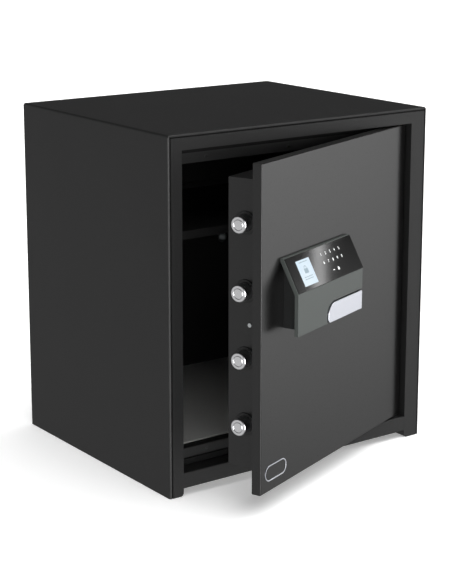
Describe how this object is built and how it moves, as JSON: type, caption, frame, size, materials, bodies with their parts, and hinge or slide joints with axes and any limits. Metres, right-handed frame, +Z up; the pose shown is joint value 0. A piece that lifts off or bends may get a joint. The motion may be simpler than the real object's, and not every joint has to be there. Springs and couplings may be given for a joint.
{
  "type": "fireproof safe",
  "caption": "Free-standing fireproof document safe: insulated steel cabinet, hinged bolted door with electronic lock unit and turning lever, shelf inside.",
  "frame": {"origin": "centre of the cabinet's footprint, on the floor", "axes": "+Z up, -Y out of the cabinet's front, +X to the right seen from the front"},
  "size_m": [0.522, 0.6033, 0.575],
  "materials": {
    "textured_steel": "fine-structure black powder coat",
    "smooth_steel": "satin black powder coat",
    "liner_steel": "matte black paint",
    "insulation": "lightweight mineral fireproof filling",
    "zinc_steel": "bright zinc-plated steel",
    "hard_steel": "hardened steel, dark",
    "bolt_steel": "turned and polished steel",
    "bush_brass": "turned brass",
    "black_screw": "black oxide",
    "seal": "matte black intumescent strip",
    "mat": "grey needle felt",
    "black_plastic": "moulded, fine grain",
    "fascia_paint": "graphite satin paint",
    "black_glass": "black back-printed panel, polished",
    "lit_display": "lit display, pale blue",
    "board": "green solder mask",
    "silver_face": "satin anodised",
    "cell_jacket": "plain dark wrapped cells",
    "cable_jacket": "black cable sheath"
  },
  "bodies": {
    "cabinet": {"outer_shell": "textured_steel", "base_panel": "textured_steel", "back_panel": "textured_steel", "inner_frame": "textured_steel", "inner_frame_screws": "black_screw", "fire_seal": "seal", "liner": "liner_steel", "insulation_left": "insulation", "insulation_right": "insulation", "insulation_top": "insulation", "insulation_base": "insulation", "insulation_back": "insulation", "anchor_sleeves_base": "zinc_steel", "anchor_sleeves_back": "zinc_steel", "anchor_washers": "zinc_steel", "floor_mat": "mat", "shelf_pegs": "zinc_steel", "hinge_mount_upper": "zinc_steel", "hinge_mount_lower": "zinc_steel", "hinge_pin_upper": "black_screw", "hinge_pin_lower": "black_screw", "hinge_washer": "black_plastic"},
    "door": {"door_skin": "smooth_steel", "door_insulation": "insulation", "door_inner_plate": "textured_steel", "door_hinge_blocks": "zinc_steel", "hinge_bushes": "bush_brass", "door_box": "smooth_steel", "door_back_cover": "smooth_steel", "cover_screws": "black_screw", "side_screw": "zinc_steel", "battery_tray": "black_plastic", "batteries": "cell_jacket", "battery_cover": "black_plastic", "drill_plate": "hard_steel", "dead_bolts": "bolt_steel", "bolt_collars": "black_plastic", "guide_pins": "zinc_steel", "lock_case": "zinc_steel", "lock_case_lid": "zinc_steel", "lock_motor": "zinc_steel", "lock_harness": "cable_jacket", "keypad_housing": "black_plastic", "fascia": "fascia_paint", "touch_glass": "black_glass", "display_module": "lit_display", "circuit_board": "board", "unit_screws": "zinc_steel", "spindle_bush": "bush_brass", "badge_plate": "silver_face"},
    "lever": {"lever_handle": "black_plastic", "lever_face": "silver_face", "spindle": "zinc_steel", "spindle_clip": "zinc_steel", "cam": "hard_steel"},
    "bolt_carriage": {"bolts": "bolt_steel", "bolt_screws": "zinc_steel", "bolt_bar": "zinc_steel"},
    "plunger": {"lock_plunger": "bolt_steel"},
    "shelf": {"shelf": "liner_steel"}
  },
  "joints": [
    {"name": "door_swing", "type": "hinge", "parent": "cabinet", "child": "door", "pos_m": [0.215, -0.203, 0.3], "axis": [0, 0, 1], "range_deg": [-21.2, 75]},
    {"name": "lever_turn", "type": "hinge", "parent": "door", "child": "lever", "pos_m": [-0.04875, -0.31388, 0.292], "axis": [-0.3616, 0.9323, 0], "range_deg": [0, 50]},
    {"name": "bolt_throw", "type": "slide", "parent": "door", "child": "bolt_carriage", "axis": [0.9323, 0.3616, 0], "range_m": [0, 0.021]},
    {"name": "plunger_drop", "type": "slide", "parent": "door", "child": "plunger", "axis": [0, 0, -1], "range_m": [0, 0.008]},
    {"name": "shelf_lift", "type": "slide", "parent": "cabinet", "child": "shelf", "axis": [0, 0, 1], "range_m": [0, 0.04]}
  ],
  "couplings": [
    {"joint": "bolt_throw", "follows": "lever_turn", "m_per_rad": 0.024064}
  ]
}
